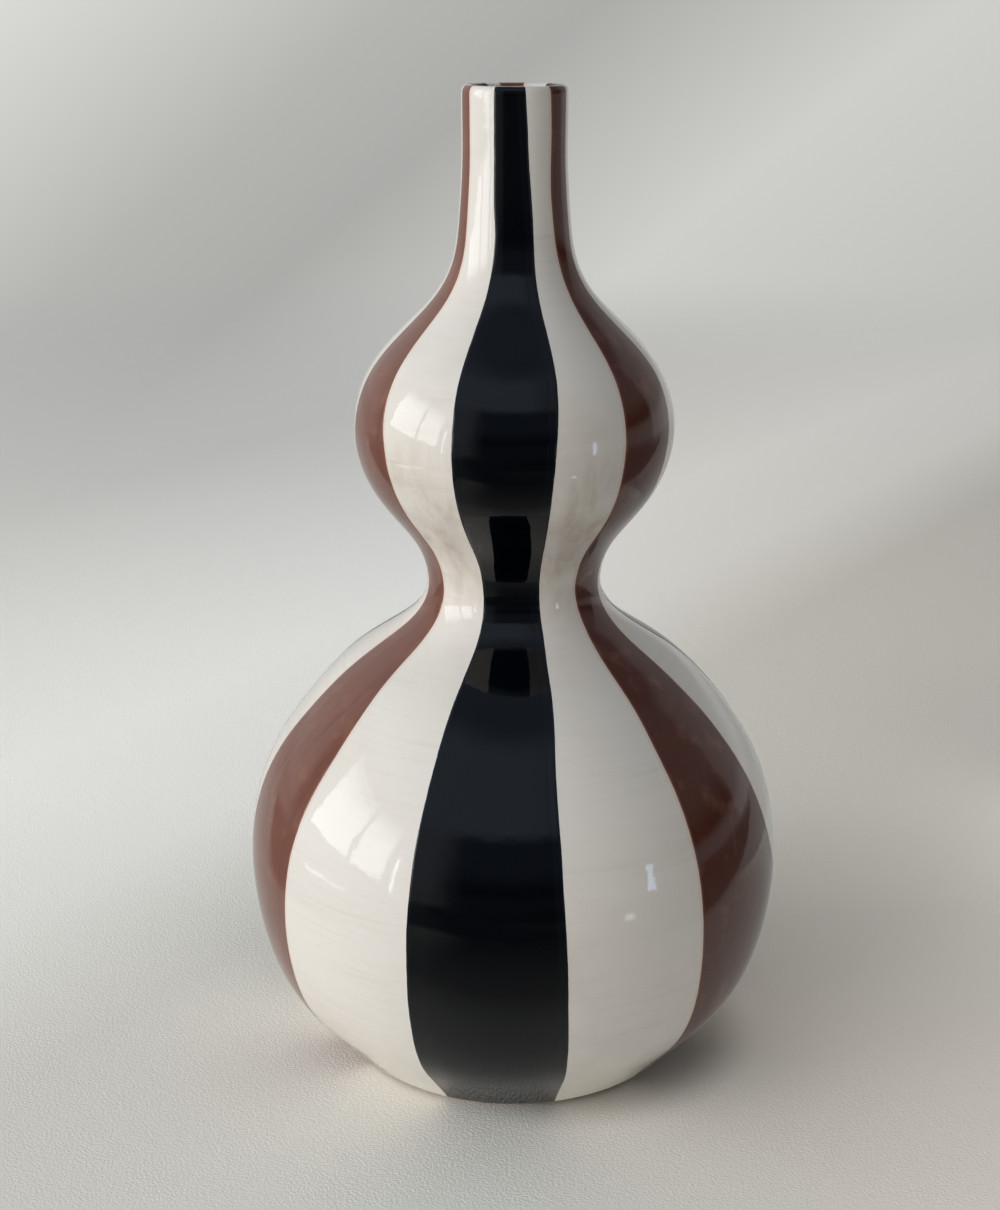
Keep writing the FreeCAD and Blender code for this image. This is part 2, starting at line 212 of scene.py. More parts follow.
def tinted(tree, colour, tint):
    return mixed(tree, 1.0, colour, tint, "MULTIPLY")


def objectPlace(tree):
    return addNode(tree, "ShaderNodeTexCoord").outputs["Object"]


def placed(tree, waves, turn=(0, 0, 0)):
    # Object coordinates for a pattern with so many waves to the metre, in all or in each direction
    scale = waves if isinstance(waves, tuple) else (waves,) * 3
    inputs = {"Vector": objectPlace(tree), "Scale": scale, "Rotation": turn}
    return addNode(tree, "ShaderNodeMapping", inputs).outputs[0]


def noisy(tree, vector, detail=2.0, rough=0.5):
    inputs = {"Vector": vector, "Scale": 1.0, "Detail": detail, "Roughness": rough}
    return addNode(tree, "ShaderNodeTexNoise", inputs)


def clouds(tree, waves, detail=2.0, rough=0.5, turn=(0, 0, 0)):
    return noisy(tree, placed(tree, waves, turn), detail, rough).outputs["Fac"]


def dotted(tree, cells, size, kept):
    # round specks of one size on a share of a pattern's cells
    pattern = addNode(tree, "ShaderNodeTexVoronoi", {"Vector": placed(tree, cells), "Scale": 1.0})
    near = ramp(tree, pattern.outputs["Distance"], size * 0.6, size, 1.0, 0.0)
    colour = addNode(tree, "ShaderNodeSeparateColor", {0: pattern.outputs["Color"]}).outputs[0]
    return times(tree, near, computed(tree, "LESS_THAN", colour, kept))


def crazed(tree, vector, share):
    # fine cracks between the cells of a pattern
    inputs = {"Vector": vector, "Scale": 1.0}
    cracks = addNode(tree, "ShaderNodeTexVoronoi", inputs, feature="DISTANCE_TO_EDGE")
    return ramp(tree, cracks.outputs["Distance"], *share)


def attribute(tree, name):
    return addNode(tree, "ShaderNodeAttribute", attribute_name=name).outputs["Fac"]


def bumped(tree, shader, height, depth):
    inputs = {"Height": height, "Distance": depth * mm, "Strength": 1.0}
    tree.links.new(addNode(tree, "ShaderNodeBump", inputs).outputs[0], shader.inputs["Normal"])


def heightAbove(tree):
    return addNode(tree, "ShaderNodeSeparateXYZ", {0: objectPlace(tree)}).outputs[2]


# In each finish a pattern is its waves to the metre, detail and roughness. A share is where it
# begins and ends and, if more than 0 to 1, how much it is at both.
creamFinish = {
    "roughness": 0.055,
    "ior": 1.5,
    "colour": (0.745, 0.700, 0.640),
    "brushed": (0.650, 0.595, 0.525),
    "strokes": ((26, 26, 900), 3.0, 0.6),
    "strokeShare": (0.46, 0.78),
    "patches": ((38, 38, 60), 2.0),
    "patchShare": (0.40, 0.68, 0.10, 0.60),
    "stain": (0.470, 0.360, 0.265),
    "cloudy": ((24, 24, 30), 4.0, 0.6),
    "cloudyShare": (0.50, 0.78, 0.0, 0.22),
    "stainRise": (0.112, 0.135),  # heights between which the waist's stains begin
    "stainFall": (0.145, 0.174, 1.0, 0.0),
    "drag": ((330, 330, 75), 4.0, 0.65, (0.35, 0.25, 0)),
    "dragShare": (0.35, 0.72, 0.12, 0.56),
    "blotches": ((90, 90, 60), 3.0),
    "blotchShare": (0.34, 0.62, 0.15, 1.0),
    "craze": (0.520, 0.455, 0.390),
    "crazeCells": 290,
    "crazeWobble": 160,
    "crazeBend": 0.12,
    "crazeShare": (0.008, 0.026, 0.10, 0.0),
    "crazePatches": (0.35, 0.65, 0.3, 1.0),
    "speck": (0.260, 0.170, 0.110),
    "specks": (130, 0.030, 0.10),  # cells to the metre, size, share of the cells
    "speckShare": 0.8,
    "halo": (0.700, 0.500, 0.400),
    "haloShare": (0.3, 0.75, 0.40, 0.0),  # mm from the brown
    "relief": (240, 2.0),
    "strokeRelief": 0.3,
    "depth": 0.04,  # mm of relief
}


def makeCreamGlaze():
    finish = creamFinish
    material, tree, shader = newMaterial("creamGlaze", finish["roughness"], finish["ior"])
    strokes = clouds(tree, *finish["strokes"])
    patches = clouds(tree, *finish["patches"])
    inPatches = ramp(tree, patches, *finish["patchShare"])
    brushed = times(tree, ramp(tree, strokes, *finish["strokeShare"]), inPatches)
    colour = mixed(tree, brushed, finish["colour"], finish["brushed"])
    cloudy = ramp(tree, clouds(tree, *finish["cloudy"]), *finish["cloudyShare"])
    colour = mixed(tree, cloudy, colour, finish["stain"])
    height = heightAbove(tree)
    overWaist = ramp(tree, height, *finish["stainRise"])
    nearWaist = times(tree, overWaist, ramp(tree, height, *finish["stainFall"]))
    dragged = ramp(tree, clouds(tree, *finish["drag"]), *finish["dragShare"])
    washed = times(tree, dragged, ramp(tree, clouds(tree, *finish["blotches"]), *finish["blotchShare"]))
    colour = mixed(tree, times(tree, washed, nearWaist), colour, finish["stain"])
    wobble = noisy(tree, placed(tree, finish["crazeWobble"])).outputs["Color"]
    bent = mixed(tree, finish["crazeBend"], placed(tree, finish["crazeCells"]), wobble, "ADD")
    cracks = crazed(tree, bent, finish["crazeShare"])
    craze = times(tree, cracks, ramp(tree, patches, *finish["crazePatches"]))
    colour = mixed(tree, craze, colour, finish["craze"])
    specks = times(tree, dotted(tree, *finish["specks"]), finish["speckShare"])
    colour = mixed(tree, specks, colour, finish["speck"])
    halo = ramp(tree, attribute(tree, "toBrown"), *finish["haloShare"])
    colour = mixed(tree, halo, colour, finish["halo"])
    tree.links.new(colour, shader.inputs["Base Color"])
    relief = plus(tree, clouds(tree, *finish["relief"]), times(tree, strokes, finish["strokeRelief"]))
    bumped(tree, shader, relief, finish["depth"])
    return material


lipWear = {
    "ragged": (500, 2.0),
    "raggedDepth": 0.3,  # mm
    "share": (0.23984, 0.24006, 0.0, 0.8),  # by height
}


def thinAtLip(tree):
    # the glaze runs off the lip's highest ring and leaves it thin
    ragged = times(tree, clouds(tree, *lipWear["ragged"]), lipWear["raggedDepth"] * mm)
    return ramp(tree, plus(tree, heightAbove(tree), ragged), *lipWear["share"])


brownFinish = {
    "roughness": 0.05,
    "ior": 1.5,
    "colour": (0.165, 0.064, 0.045),
    # deepest brown, for a heavy brush load and for painted shade on the brown stripe away from the window
    "deepAndShaded": (0.063, 0.012, 0.006),
    "streak": (0.075, 0.027, 0.020),
    "flow": (0.55, 0.030),  # streaks to the mm, across a stripe and along it
    "flowNoise": (3.0, 0.55),
    "streakShare": (0.42, 0.75, 0.0, 0.30),
    "thin": (0.300, 0.130, 0.080),
    "mottle": (150, 3.0),
    "mottleShare": (0.52, 0.80, 0.0, 0.35),
    "thinEdge": (0.25, 1.1, 0.35, 0.0),  # mm from a stripe's edge
    "halo": (0.560, 0.300, 0.190),
    "haloEdge": (0.10, 0.32, 0.60, 0.0),
    "lipShare": 0.6,
    "relief": (220, 2.0),
    "streakRelief": 0.8,
    "depth": 0.025,
}


def makeBrownGlaze():
    finish = brownFinish
    material, tree, shader = newMaterial("brownGlaze", finish["roughness"], finish["ior"])
    across = times(tree, attribute(tree, "fromLeft"), finish["flow"][0])
    along = times(tree, attribute(tree, "alongStripe"), finish["flow"][1])
    flow = addNode(tree, "ShaderNodeCombineXYZ", {0: across, 1: along}).outputs[0]
    streaks = noisy(tree, flow, *finish["flowNoise"]).outputs["Fac"]
    # partly brush load, partly painted shade: the brown stripe away from the window is darkened
    colour = mixed(tree, attribute(tree, "loadAndShade"), finish["colour"], finish["deepAndShaded"])
    colour = mixed(tree, ramp(tree, streaks, *finish["streakShare"]), colour, finish["streak"])
    mottled = ramp(tree, clouds(tree, *finish["mottle"]), *finish["mottleShare"])
    colour = mixed(tree, mottled, colour, finish["thin"])
    edge = attribute(tree, "toEdge")
    colour = mixed(tree, ramp(tree, edge, *finish["thinEdge"]), colour, finish["thin"])
    colour = mixed(tree, ramp(tree, edge, *finish["haloEdge"]), colour, finish["halo"])
    colour = mixed(tree, times(tree, thinAtLip(tree), finish["lipShare"]), colour, finish["halo"])
    tree.links.new(colour, shader.inputs["Base Color"])
    relief = plus(tree, clouds(tree, *finish["relief"]), times(tree, streaks, finish["streakRelief"]))
    bumped(tree, shader, relief, finish["depth"])
    return material


blackFinish = {
    "roughness": 0.045,
    "ior": 1.45,
    "colour": (0.0006, 0.0010, 0.0022),
    "single": (0.0018, 0.0026, 0.0045),  # where the brush passed once
    "strokeEdge": 2.3,  # mm from the right edge to the end of the second brush stroke
    "strokeShare": (-0.15, 0.20),
    "edge": (0.0040, 0.0065, 0.0150),
    "edgeShare": (0.1, 1.0, 1.0, 0.0),  # mm from a stripe's edge
    "dust": (0.300, 0.310, 0.320),
    "dustSpecks": (150, 0.034, 0.055),
    "bareLip": (0.420, 0.330, 0.230),
    "relief": (200, 2.0),
    "strokeRelief": 0.35,
    "dustRelief": 1.5,
    "depth": 0.05,
}


def makeBlackGlaze():
    finish = blackFinish
    material, tree, shader = newMaterial("blackGlaze", finish["roughness"], finish["ior"])
    fromStroke = minus(tree, attribute(tree, "fromRight"), finish["strokeEdge"])
    overlap = ramp(tree, fromStroke, *finish["strokeShare"])
    colour = mixed(tree, overlap, finish["single"], finish["colour"])
    colour = mixed(tree, ramp(tree, attribute(tree, "toEdge"), *finish["edgeShare"]), colour, finish["edge"])
    dust = dotted(tree, *finish["dustSpecks"])
    colour = mixed(tree, dust, colour, finish["dust"])
    colour = mixed(tree, thinAtLip(tree), colour, finish["bareLip"])
    tree.links.new(colour, shader.inputs["Base Color"])
    relief = plus(tree, clouds(tree, *finish["relief"]), times(tree, overlap, finish["strokeRelief"]))
    relief = plus(tree, relief, times(tree, dust, finish["dustRelief"]))
    bumped(tree, shader, relief, finish["depth"])
    return material


linerFinish = {
    "roughness": 0.12,
    "ior": 1.5,
    "colour": (0.70, 0.65, 0.58),
    "stain": (0.52, 0.44, 0.36),
    "pools": (70, 4.0),
    "poolShare": (0.40, 0.75, 0.0, 0.8),
    "crazeCells": 210,
    "crazeShare": (0.008, 0.03, 0.4, 0.0),
    "relief": (260, 2.0),
    "depth": 0.06,
}


def makeLinerGlaze():
    finish = linerFinish
    material, tree, shader = newMaterial("linerGlaze", finish["roughness"], finish["ior"])
    pools = ramp(tree, clouds(tree, *finish["pools"]), *finish["poolShare"])
    colour = mixed(tree, pools, finish["colour"], finish["stain"])
    craze = crazed(tree, placed(tree, finish["crazeCells"]), finish["crazeShare"])
    colour = mixed(tree, craze, colour, finish["stain"])
    tree.links.new(colour, shader.inputs["Base Color"])
    bumped(tree, shader, clouds(tree, *finish["relief"]), finish["depth"])
    return material


clayFinish = {
    "roughness": 0.85,
    "ior": 1.45,
    "colour": (0.60, 0.49, 0.37),
    "grain": (0.42, 0.31, 0.21),
    "grains": (900, 4.0, 0.7),
    "grainShare": (0.42, 0.70),
    "rubbed": (80, 3.0),
    "rubbedShare": (0.45, 0.75, 0.0, 0.4),
    "iron": (0.12, 0.06, 0.035),
    "ironSpecks": (420, 0.16, 0.10),
    "rubbedRelief": 0.7,
    "depth": 0.22,
}


def makeClay(name, lightness):
    finish = clayFinish
    material, tree, shader = newMaterial(name, finish["roughness"], finish["ior"])
    grain = clouds(tree, *finish["grains"])
    base = [value * lightness for value in finish["colour"]]
    colour = mixed(tree, ramp(tree, grain, *finish["grainShare"]), base, finish["grain"])
    rubbed = clouds(tree, *finish["rubbed"])
    colour = mixed(tree, ramp(tree, rubbed, *finish["rubbedShare"]), colour, finish["grain"])
    colour = mixed(tree, dotted(tree, *finish["ironSpecks"]), colour, finish["iron"])
    tree.links.new(colour, shader.inputs["Base Color"])
    bumped(tree, shader, plus(tree, grain, times(tree, rubbed, finish["rubbedRelief"])), finish["depth"])
    return material


creamGlaze = makeCreamGlaze()
brownGlaze = makeBrownGlaze()
blackGlaze = makeBlackGlaze()
linerGlaze = makeLinerGlaze()
clayBody = makeClay("clayBody", 1.0)
lutingSlip = makeClay("lutingSlip", 0.9)
print("materials made")


# Clay

clay = {  # mm
    "segments": 128,
    "footInner": 33.5,
    "footOuter": 41.0,
    "recess": 4.0,
    "rounding": 0.4,
    "roundingSteps": 4,
    "heelStart": 0.5,  # height where the wall leaves the foot
    "topReach": 0.5,  # below a section's top, where its last point is looked for
    "neckReach": 2,
    "lipDrop": 0.2,  # from the lip's outer end down to its inner end
}


def spunSolid(section, segments):
    # turns a closed section about the axis; a section that starts and ends on the axis is left open there
    onAxis = abs(section[0].x) < 1e-6 and abs(section[-1].x) < 1e-6
    bm = lineMesh(section, closed=not onAxis)
    bmesh.ops.spin(bm, geom=bm.verts[:] + bm.edges[:], cent=(0, 0, 0), axis=up, dvec=(0, 0, 0),
                   angle=math.tau, steps=segments, use_merge=True)
    bmesh.ops.remove_doubles(bm, verts=bm.verts[:], dist=0.01 * mm)
    bmesh.ops.recalc_face_normals(bm, faces=bm.faces[:])
    return bm


def rounded(corner, before, after):
    # a quarter turn that softens a corner of the foot
    steps = clay["roundingSteps"]
    centre = before + after - corner
    points = []
    for step in range(steps + 1):
        angle = math.pi / 2 * step / steps
        points.append(centre + (before - centre) * math.cos(angle) + (after - centre) * math.sin(angle))
    return points


def footLine():
    inner, outer = clay["footInner"] * mm, clay["footOuter"] * mm
    recess, soft = clay["recess"] * mm, clay["rounding"] * mm
    points = [Vector((inner * share, 0, recess)) for share in (0, 0.2, 0.4, 0.6, 0.8)]
    points += rounded(Vector((inner, 0, recess)), Vector((inner - soft, 0, recess)),
                      Vector((inner, 0, recess - soft)))
    points += rounded(Vector((inner, 0, 0)), Vector((inner, 0, soft)), Vector((inner + soft, 0, 0)))
    points.append(Vector(((inner + outer) / 2, 0, 0)))
    points += rounded(Vector((outer, 0, 0)), Vector((outer - soft, 0, 0)),
                      Vector((outer + soft / 2, 0, soft)))
    return points


def makeClayPiece(name, node, material, foot=False):
    low, high = (corner.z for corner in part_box(node))
    wallLine = pushed(insideLine, outline["coat"] * mm)
    if foot:
        outer = footLine() + between(clayLine, low + clay["heelStart"] * mm, high)
        inner = [point for point in wallLine if point.z < high]
        inner += between(wallLine, high - clay["topReach"] * mm, high)[-1:]
    elif node == "neck":
        outer = [point for point in clayLine if point.z > low]
        outer = between(clayLine, low, low + clay["neckReach"] * mm)[:1] + outer
        inner = between(wallLine, low, outer[-1].z - clay["lipDrop"] * mm)
    else:
        outer = between(clayLine, low, high)
        inner = between(wallLine, low, high)
    makePiece(spunSolid(outer + inner[::-1], clay["segments"]), name, material, node)


makeClayPiece("lowerBulb", "lower_bulb", clayBody, foot=True)
makeClayPiece("waistSeam", "waist_luting_seam", lutingSlip)
makeClayPiece("upperBulb", "upper_bulb", clayBody)
makeClayPiece("neckSeam", "neck_luting_seam", lutingSlip)
makeClayPiece("slenderNeck", "neck", clayBody)
print("clay thrown and luted")


# Glaze inside and underneath

liner = {
    "segments": 128,
    "thickness": 0.5,
    "underRadius": 32.0,
    "underEdge": 0.45,
    "underBevel": [(2.2, 0.02), (1, 0.12), (0.3, 0.30)],  # edge widths in from the rim, mm up
    "underWander": 0.7,  # mm that the rim wanders inwards
    "wanderFrom": 0.5,  # share of the radius where that begins
    "wanderWaves": 3.1,
}


def makeInnerGlaze():
    bm = spunSolid(insideLine + pushed(insideLine, liner["thickness"] * mm)[::-1], liner["segments"])
    makePiece(bm, "innerGlaze", linerGlaze, "inner_glaze")


def makeUndersideGlaze():
    low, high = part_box("underside_glaze")
    radius, edge = liner["underRadius"] * mm, liner["underEdge"] * mm
    section = [Vector((radius * share, 0, low.z)) for share in (0, 0.2, 0.4, 0.6, 0.8, 0.92)]
    section += [Vector((radius - edge * inward, 0, low.z + rise * mm))
                for inward, rise in liner["underBevel"]]
    section += [Vector((radius * share, 0, high.z)) for share in (1, 0.5, 0)]
    bm = spunSolid(section, liner["segments"])
    start = liner["wanderFrom"]
    for vertex in bm.verts:
        reach = vertex.co.xy.length / radius
        if reach > start:
            wander = noise.noise(vertex.co.normalized() * liner["wanderWaves"]) * liner["underWander"] * mm
            shift = -abs(wander) * (reach - start) / (1 - start)
            vertex.co.xy = vertex.co.xy * (1 + shift / radius)
    makePiece(bm, "undersideGlaze", linerGlaze, "underside_glaze")


makeInnerGlaze()
makeUndersideGlaze()
print("inside and underside glazed")


# Stripes

# where each edge of a stripe runs: height in mm, turn in degrees from the front, to the right
stripeEdges = [
    [(0, -22), (50, -21.5), (107, -20.6), (118, -20), (140, -21), (165, -21.7), (189, -22.6),
     (206, -20.6), (216, -22.8), (240, -23.5)],
    [(0, 14), (27, 12), (48, 11), (77, 10.3), (94, 11.3), (108, 14.7), (117, 17.4), (130, 16.3),
     (146, 13.8), (161, 14.3), (182, 17.7), (206, 19.4), (216, 18.4), (226, 15.5), (240, 12.3)],
    [(0, 43.4), (30, 42.4), (55, 41.3), (85, 40.5), (106, 40.5), (117, 44.3), (127, 41.9),
     (155, 40), (168, 41.4), (185, 43.2), (197, 44.4), (215, 39.8), (230, 41), (240, 39)],
    [(0, 77), (20, 81), (38, 81.5), (50, 78), (61, 73), (72, 70.6), (92, 69), (102, 67.1), (110, 69.1),
     (119, 74.2), (138, 70.5), (156, 68.7), (165, 71.6), (178, 74.6), (200, 72), (240, 71)],
    [(0, 104), (35, 107), (70, 103), (95, 99), (118, 95.5), (150, 100), (180, 97.5), (210, 100), (240, 98)],
    [(0, 138), (40, 137), (85, 135), (117, 137), (145, 133), (175, 135), (205, 132), (240, 135)],
    [(0, 163.5), (50, 161.5), (95, 163), (120, 160), (150, 164), (185, 162), (215, 164.5), (240, 167)],
    [(0, 189), (40, 191), (80, 192.5), (112, 189), (125, 187.5), (155, 191), (190, 193), (215, 196),
     (240, 202)],
    [(0, 218), (45, 217), (90, 220), (118, 222), (150, 218.5), (180, 217), (210, 220.5), (240, 219)],
    [(0, 255), (50, 254.5), (85, 252), (112, 254), (122, 257), (150, 253), (190, 255.5), (240, 253)],
    [(0, 281.5), (40, 280.5), (83, 280.1), (100, 283.1), (113, 281.6), (135, 284), (165, 281),
     (240, 282.5)],
    [(0, 304.2), (31, 304.5), (62, 306.2), (79, 308), (99, 310), (118, 308), (128, 309.2), (142, 311.3),
     (158, 310.4), (167, 308.3), (180, 305.9), (190, 305), (240, 305)],
]

coats = {  # mm: full thickness, the bead near an edge, how far it thins at it, how far it laps under it
    "blackGlaze": {"material": blackGlaze, "slot": "black_glaze",
                   "thickness": 0.46, "bead": 0.04, "fall": 0.24, "reach": 0.0},
    "brownGlaze": {"material": brownGlaze, "slot": "brown_glaze",
                   "thickness": 0.45, "bead": 0.02, "fall": 0.20, "reach": 0.0},
    "creamGlaze": {"material": creamGlaze, "slot": "cream_glaze",
                   "thickness": 0.40, "bead": 0.0, "fall": 0.0, "reach": 0.6},
}

stripeShape = {
    "columns": 31,
    "edgeColumns": [0, 0.10, 0.21, 0.33, 0.46, 0.62, 0.85, 1.2],  # mm from each edge
    "fallWidth": 0.45,  # mm from a stripe's edge to its full thickness
    "endFall": 0.24,  # mm that a coat thins towards its lower and inner end
    "endStretch": 1.5,
    "least": 0.12,  # mm of glaze left at the thinnest
    "beadPlace": 0.85,
    "beadWidth": 0.45,
    "tremor": 0.10,  # mm that a brushed edge trembles
    "tremors": [(1.0, 0.10, 7.3, 0), (0.5, 0.35, 3.1, 5)],  # share, waves to the mm, step by edge, start
    "marks": ("alongStripe", "fromLeft", "fromRight", "toEdge", "toBrown", "loadAndShade"),
    "noBrown": 50,  # mm to the brown for a coat that has none beside it
}

wall = {  # the thrown wall's slight unevenness
    "depth": 0.05,  # mm
    "quiet": 0.012,  # metres at the foot and at the lip in which it comes and goes
    "quietTop": 0.236,
    "broad": (38, 38, 38),
    "broadShare": 0.7,
    "rings": (12, 12, 130),
    "ringShare": 0.3,
}


def alongEdge(points, height):
    # a smooth line through the points of one edge
    index = 0
    while index < len(points) - 2 and height > points[index + 1][0]:
        index += 1
    (low, start), (high, end) = points[index], points[index + 1]
    before = points[max(index - 1, 0)]
    after = points[min(index + 2, len(points) - 1)]
    span = high - low
    share = min(max((height - low) / span, 0), 1)
    slopeIn = (end - before[1]) / (high - before[0]) * span
    slopeOut = (after[1] - start) / (after[0] - low) * span
    square, cube = share ** 2, share ** 3
    return (start * (2 * cube - 3 * square + 1) + slopeIn * (cube - 2 * square + share)
            + end * (3 * square - 2 * cube) + slopeOut * (cube - square))


def edgeTurn(number, height, radius, along):
    rounds, edge = divmod(number, len(stripeEdges))
    turn = alongEdge(stripeEdges[edge], height) + 360 * rounds
    tremble = 0.0
    for share, waves, step, start in stripeShape["tremors"]:
        tremble += share * noise.noise(Vector((edge * step, along * waves, start)))
    return math.radians(turn) + tremble * stripeShape["tremor"] / radius


def columnPlace(column, width):
    # mm from the left edge to a column of vertices: close together at both edges
    near = stripeShape["edgeColumns"]
    last = stripeShape["columns"]
    if column < len(near):
        return near[column]
    if last - column < len(near):
        return width - near[last - column]
    share = (column - len(near) + 1) / (last - 2 * len(near) + 2)
    return near[-1] + share * (width - 2 * near[-1])


def coatDepth(coat, toSide, toEnd):
    width = stripeShape["fallWidth"]
    fall = coat["fall"] * (1 - min(toSide / width, 1)) ** 2
    fall += stripeShape["endFall"] * (1 - min(toEnd / width / stripeShape["endStretch"], 1)) ** 2
    bead = coat["bead"] * math.exp(-((toSide - stripeShape["beadPlace"]) / stripeShape["beadWidth"]) ** 2)
    return (max(coat["thickness"] - fall, stripeShape["least"]) + bead) * mm


def swell(point):
    # none at the foot and the lip, and never over the full coat
    quiet = min(point.z / wall["quiet"], (wall["quietTop"] - point.z) / wall["quiet"], 1)
    broad = noise.noise(point * Vector(wall["broad"]))
    rings = noise.noise(point * Vector(wall["rings"]))
    uneven = wall["broadShare"] * broad + wall["ringShare"] * rings - 0.5
    return max(quiet, 0) * uneven * wall["depth"] * mm


def brushedFace(number, coat, brownSide, loadAndShade):
    # the outer face of one stripe, with its marks, and how deep the glaze is at each vertex
    quarter = math.pi / 2
    bm = lineMesh(glazedLine)
    layers = [bm.verts.layers.float.new(mark) for mark in stripeShape["marks"]]
    bm.verts.ensure_lookup_table()
    lineLengths = lengths(glazedLine)
    for vertex, along in zip(bm.verts, lineLengths):
        vertex[layers[0]] = along
    bmesh.ops.spin(bm, geom=bm.verts[:] + bm.edges[:], cent=(0, 0, 0), axis=up, dvec=(0, 0, 0),
                   angle=quarter, steps=stripeShape["columns"], use_merge=False)
    depths = {}
    for vertex in bm.verts:
        radius = vertex.co.xy.length / mm
        column = round(math.atan2(vertex.co.y, vertex.co.x) / quarter * stripeShape["columns"])
        along = vertex[layers[0]]
        inMouth = radius < outline["crest"] and vertex.co.z > outline["mouthAbove"] * mm
        height = outline["tall"] if inMouth else vertex.co.z / mm
        extra = coat["reach"] / radius
        left = edgeTurn(number, height, radius, along) - extra
        right = edgeTurn(number + 1, height, radius, along) + extra
        width = (right - left) * radius
        place = columnPlace(column, width)
        turn = left + place / radius
        vertex.co.x = radius * mm * math.sin(turn)
        vertex.co.y = -radius * mm * math.cos(turn)
        toSide = min(place, width - place)
        depths[vertex] = coatDepth(coat, toSide, min(along, lineLengths[-1] - along))
        toBrown = {"left": place, "right": width - place}.get(brownSide, stripeShape["noBrown"])
        values = (place, width - place, toSide, toBrown - coat["reach"], loadAndShade)
        for layer, value in zip(layers[1:], values):
            vertex[layer] = value
    bm.normal_update()
    if sum(face.normal.dot(Vector((*face.calc_center_median().xy, 0))) for face in bm.faces) < 0:
        bmesh.ops.reverse_faces(bm, faces=bm.faces[:])
        bm.normal_update()
    return bm, depths


def makeStripe(name, node, number, coatName, brownSide, loadAndShade):
    coat = coats[coatName]
    bm, depths = brushedFace(number, coat, brownSide, loadAndShade)
    outerVerts = bm.verts[:]
    clayPlaces = [vertex.co - vertex.normal * outline["coat"] * mm for vertex in outerVerts]
    glazePlaces = [body + vertex.normal * (depths[vertex] + swell(vertex.co))
                   for body, vertex in zip(clayPlaces, outerVerts)]
    copied = bmesh.ops.duplicate(bm, geom=bm.verts[:] + bm.edges[:] + bm.faces[:])["geom"]
    innerVerts = [element for element in copied if isinstance(element, bmesh.types.BMVert)]
    innerFaces = [element for element in copied if isinstance(element, bmesh.types.BMFace)]
    for vertex, inner, glaze, body in zip(outerVerts, innerVerts, glazePlaces, clayPlaces):
        vertex.co = glaze
        inner.co = body
    bmesh.ops.reverse_faces(bm, faces=innerFaces)
    bmesh.ops.bridge_loops(bm, edges=[edge for edge in bm.edges if edge.is_boundary])
    bmesh.ops.recalc_face_normals(bm, faces=bm.faces[:])
    makePiece(bm, name, coat["material"], node)


stripes = [  # in order to the right from the front: the side with brown beside it, and how dark a brown stripe is, partly the load of the brush and partly painted shade, heaviest on the brown away from the window
    ("blackStripe1", "black_stripe_1", "blackGlaze", None, 1.0),
    ("creamStripe1", "cream_stripe_1", "creamGlaze", "right", 1.0),
    ("brownStripe1", "brown_stripe_1", "brownGlaze", None, 0.85),
    ("creamStripe2", "cream_stripe_2", "creamGlaze", "left", 1.0),
    ("blackStripe2", "black_stripe_2", "blackGlaze", None, 1.0),
    ("creamStripe3", "cream_stripe_3", "creamGlaze", "right", 1.0),
    ("brownStripe2", "brown_stripe_2", "brownGlaze", None, 0.45),
    ("creamStripe4", "cream_stripe_4", "creamGlaze", "left", 1.0),
    ("blackStripe3", "black_stripe_3", "blackGlaze", None, 1.0),
    ("creamStripe5", "cream_stripe_5", "creamGlaze", "right", 1.0),
    ("brownStripe3", "brown_stripe_3", "brownGlaze", None, 0.0),
    ("creamStripe6", "cream_stripe_6", "creamGlaze", "left", 1.0),
]
for number, (name, node, coatName, brownSide, loadAndShade) in enumerate(stripes):
    makeStripe(name, node, number, coatName, brownSide, loadAndShade)
print("stripes brushed")


# Floor and light

